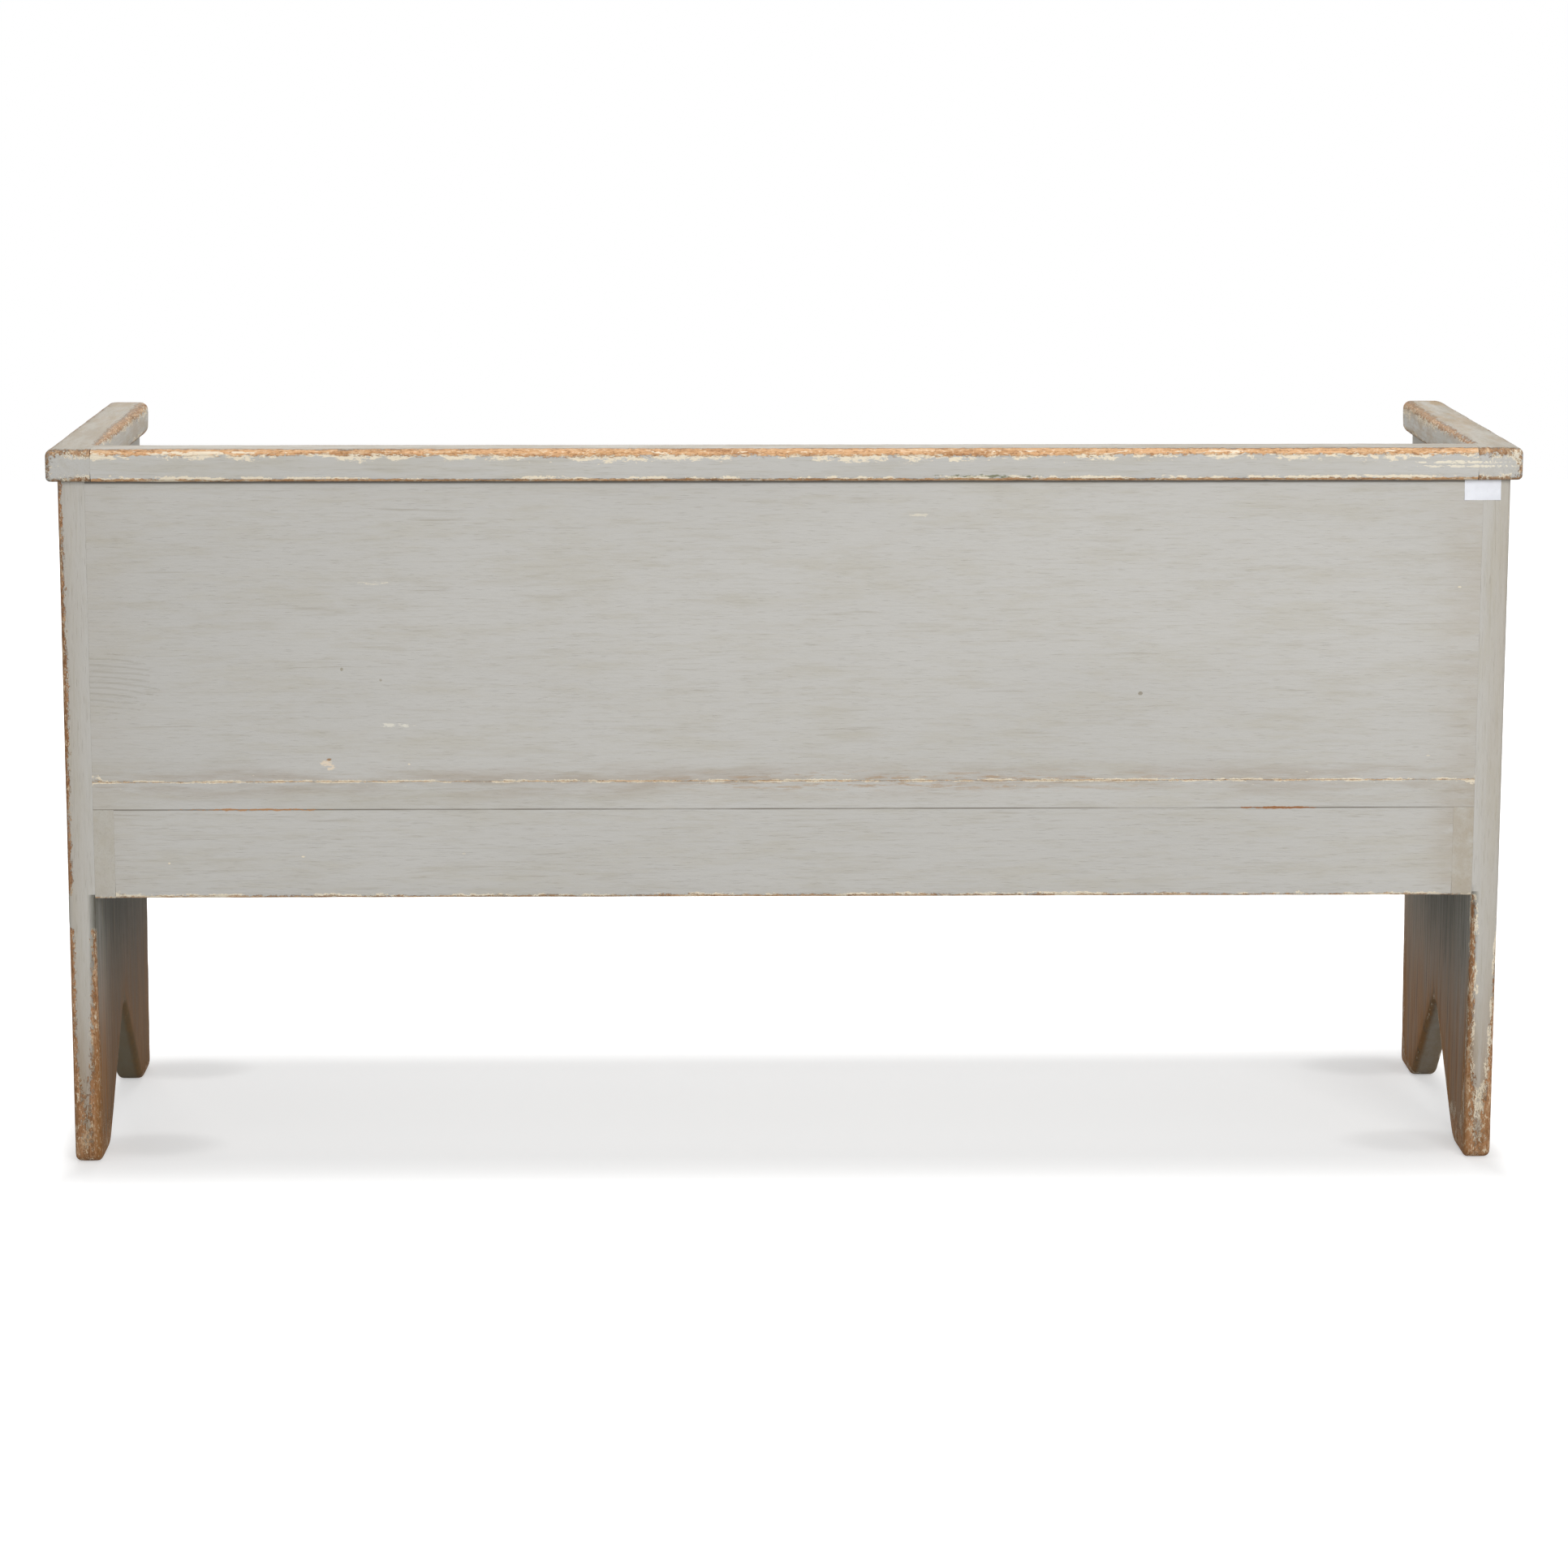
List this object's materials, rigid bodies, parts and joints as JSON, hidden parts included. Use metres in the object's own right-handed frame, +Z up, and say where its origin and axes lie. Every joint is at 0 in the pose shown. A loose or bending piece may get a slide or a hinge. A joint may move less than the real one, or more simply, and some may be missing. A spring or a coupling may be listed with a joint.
{
  "type": "wooden bench",
  "caption": "Painted plank bench with a solid back, a thick rounded top rail running into flat arms, and plank ends cut at the floor to an inverted V.",
  "frame": {"origin": "on the floor, in the middle of the length, midway between the noses and the heels of the arms", "axes": "+X along the seat, to the right of someone who stands in front; +Y from the front to the back; +Z up"},
  "size_m": [1.7, 0.51, 0.85],
  "materials": {
    "painted_pine": "old brushed grey milk paint, worn to bare wood along the edges",
    "bare_pine": "unpainted sawn pine",
    "screw_steel": "dulled steel"
  },
  "bodies": {
    "root": {"end_panel_left": "painted_pine", "end_panel_right": "painted_pine", "back_panel": "painted_pine", "seat_board": "painted_pine", "back_apron": "painted_pine", "front_apron": "painted_pine", "seat_bearer_left": "painted_pine", "seat_bearer_right": "painted_pine", "arm_left": "painted_pine", "arm_right": "painted_pine", "back_rail": "painted_pine", "cross_brace": "bare_pine", "corner_block_front_left": "bare_pine", "corner_block_front_right": "bare_pine", "corner_block_back_left": "bare_pine", "corner_block_back_right": "bare_pine", "seat_cleat_front_left": "bare_pine", "seat_cleat_front_right": "bare_pine", "seat_cleat_back_left": "bare_pine", "seat_cleat_back_right": "bare_pine", "bearer_screws": "screw_steel", "block_screws": "screw_steel", "cleat_screws": "screw_steel", "seat_screws": "screw_steel"}
  },
  "joints": []
}
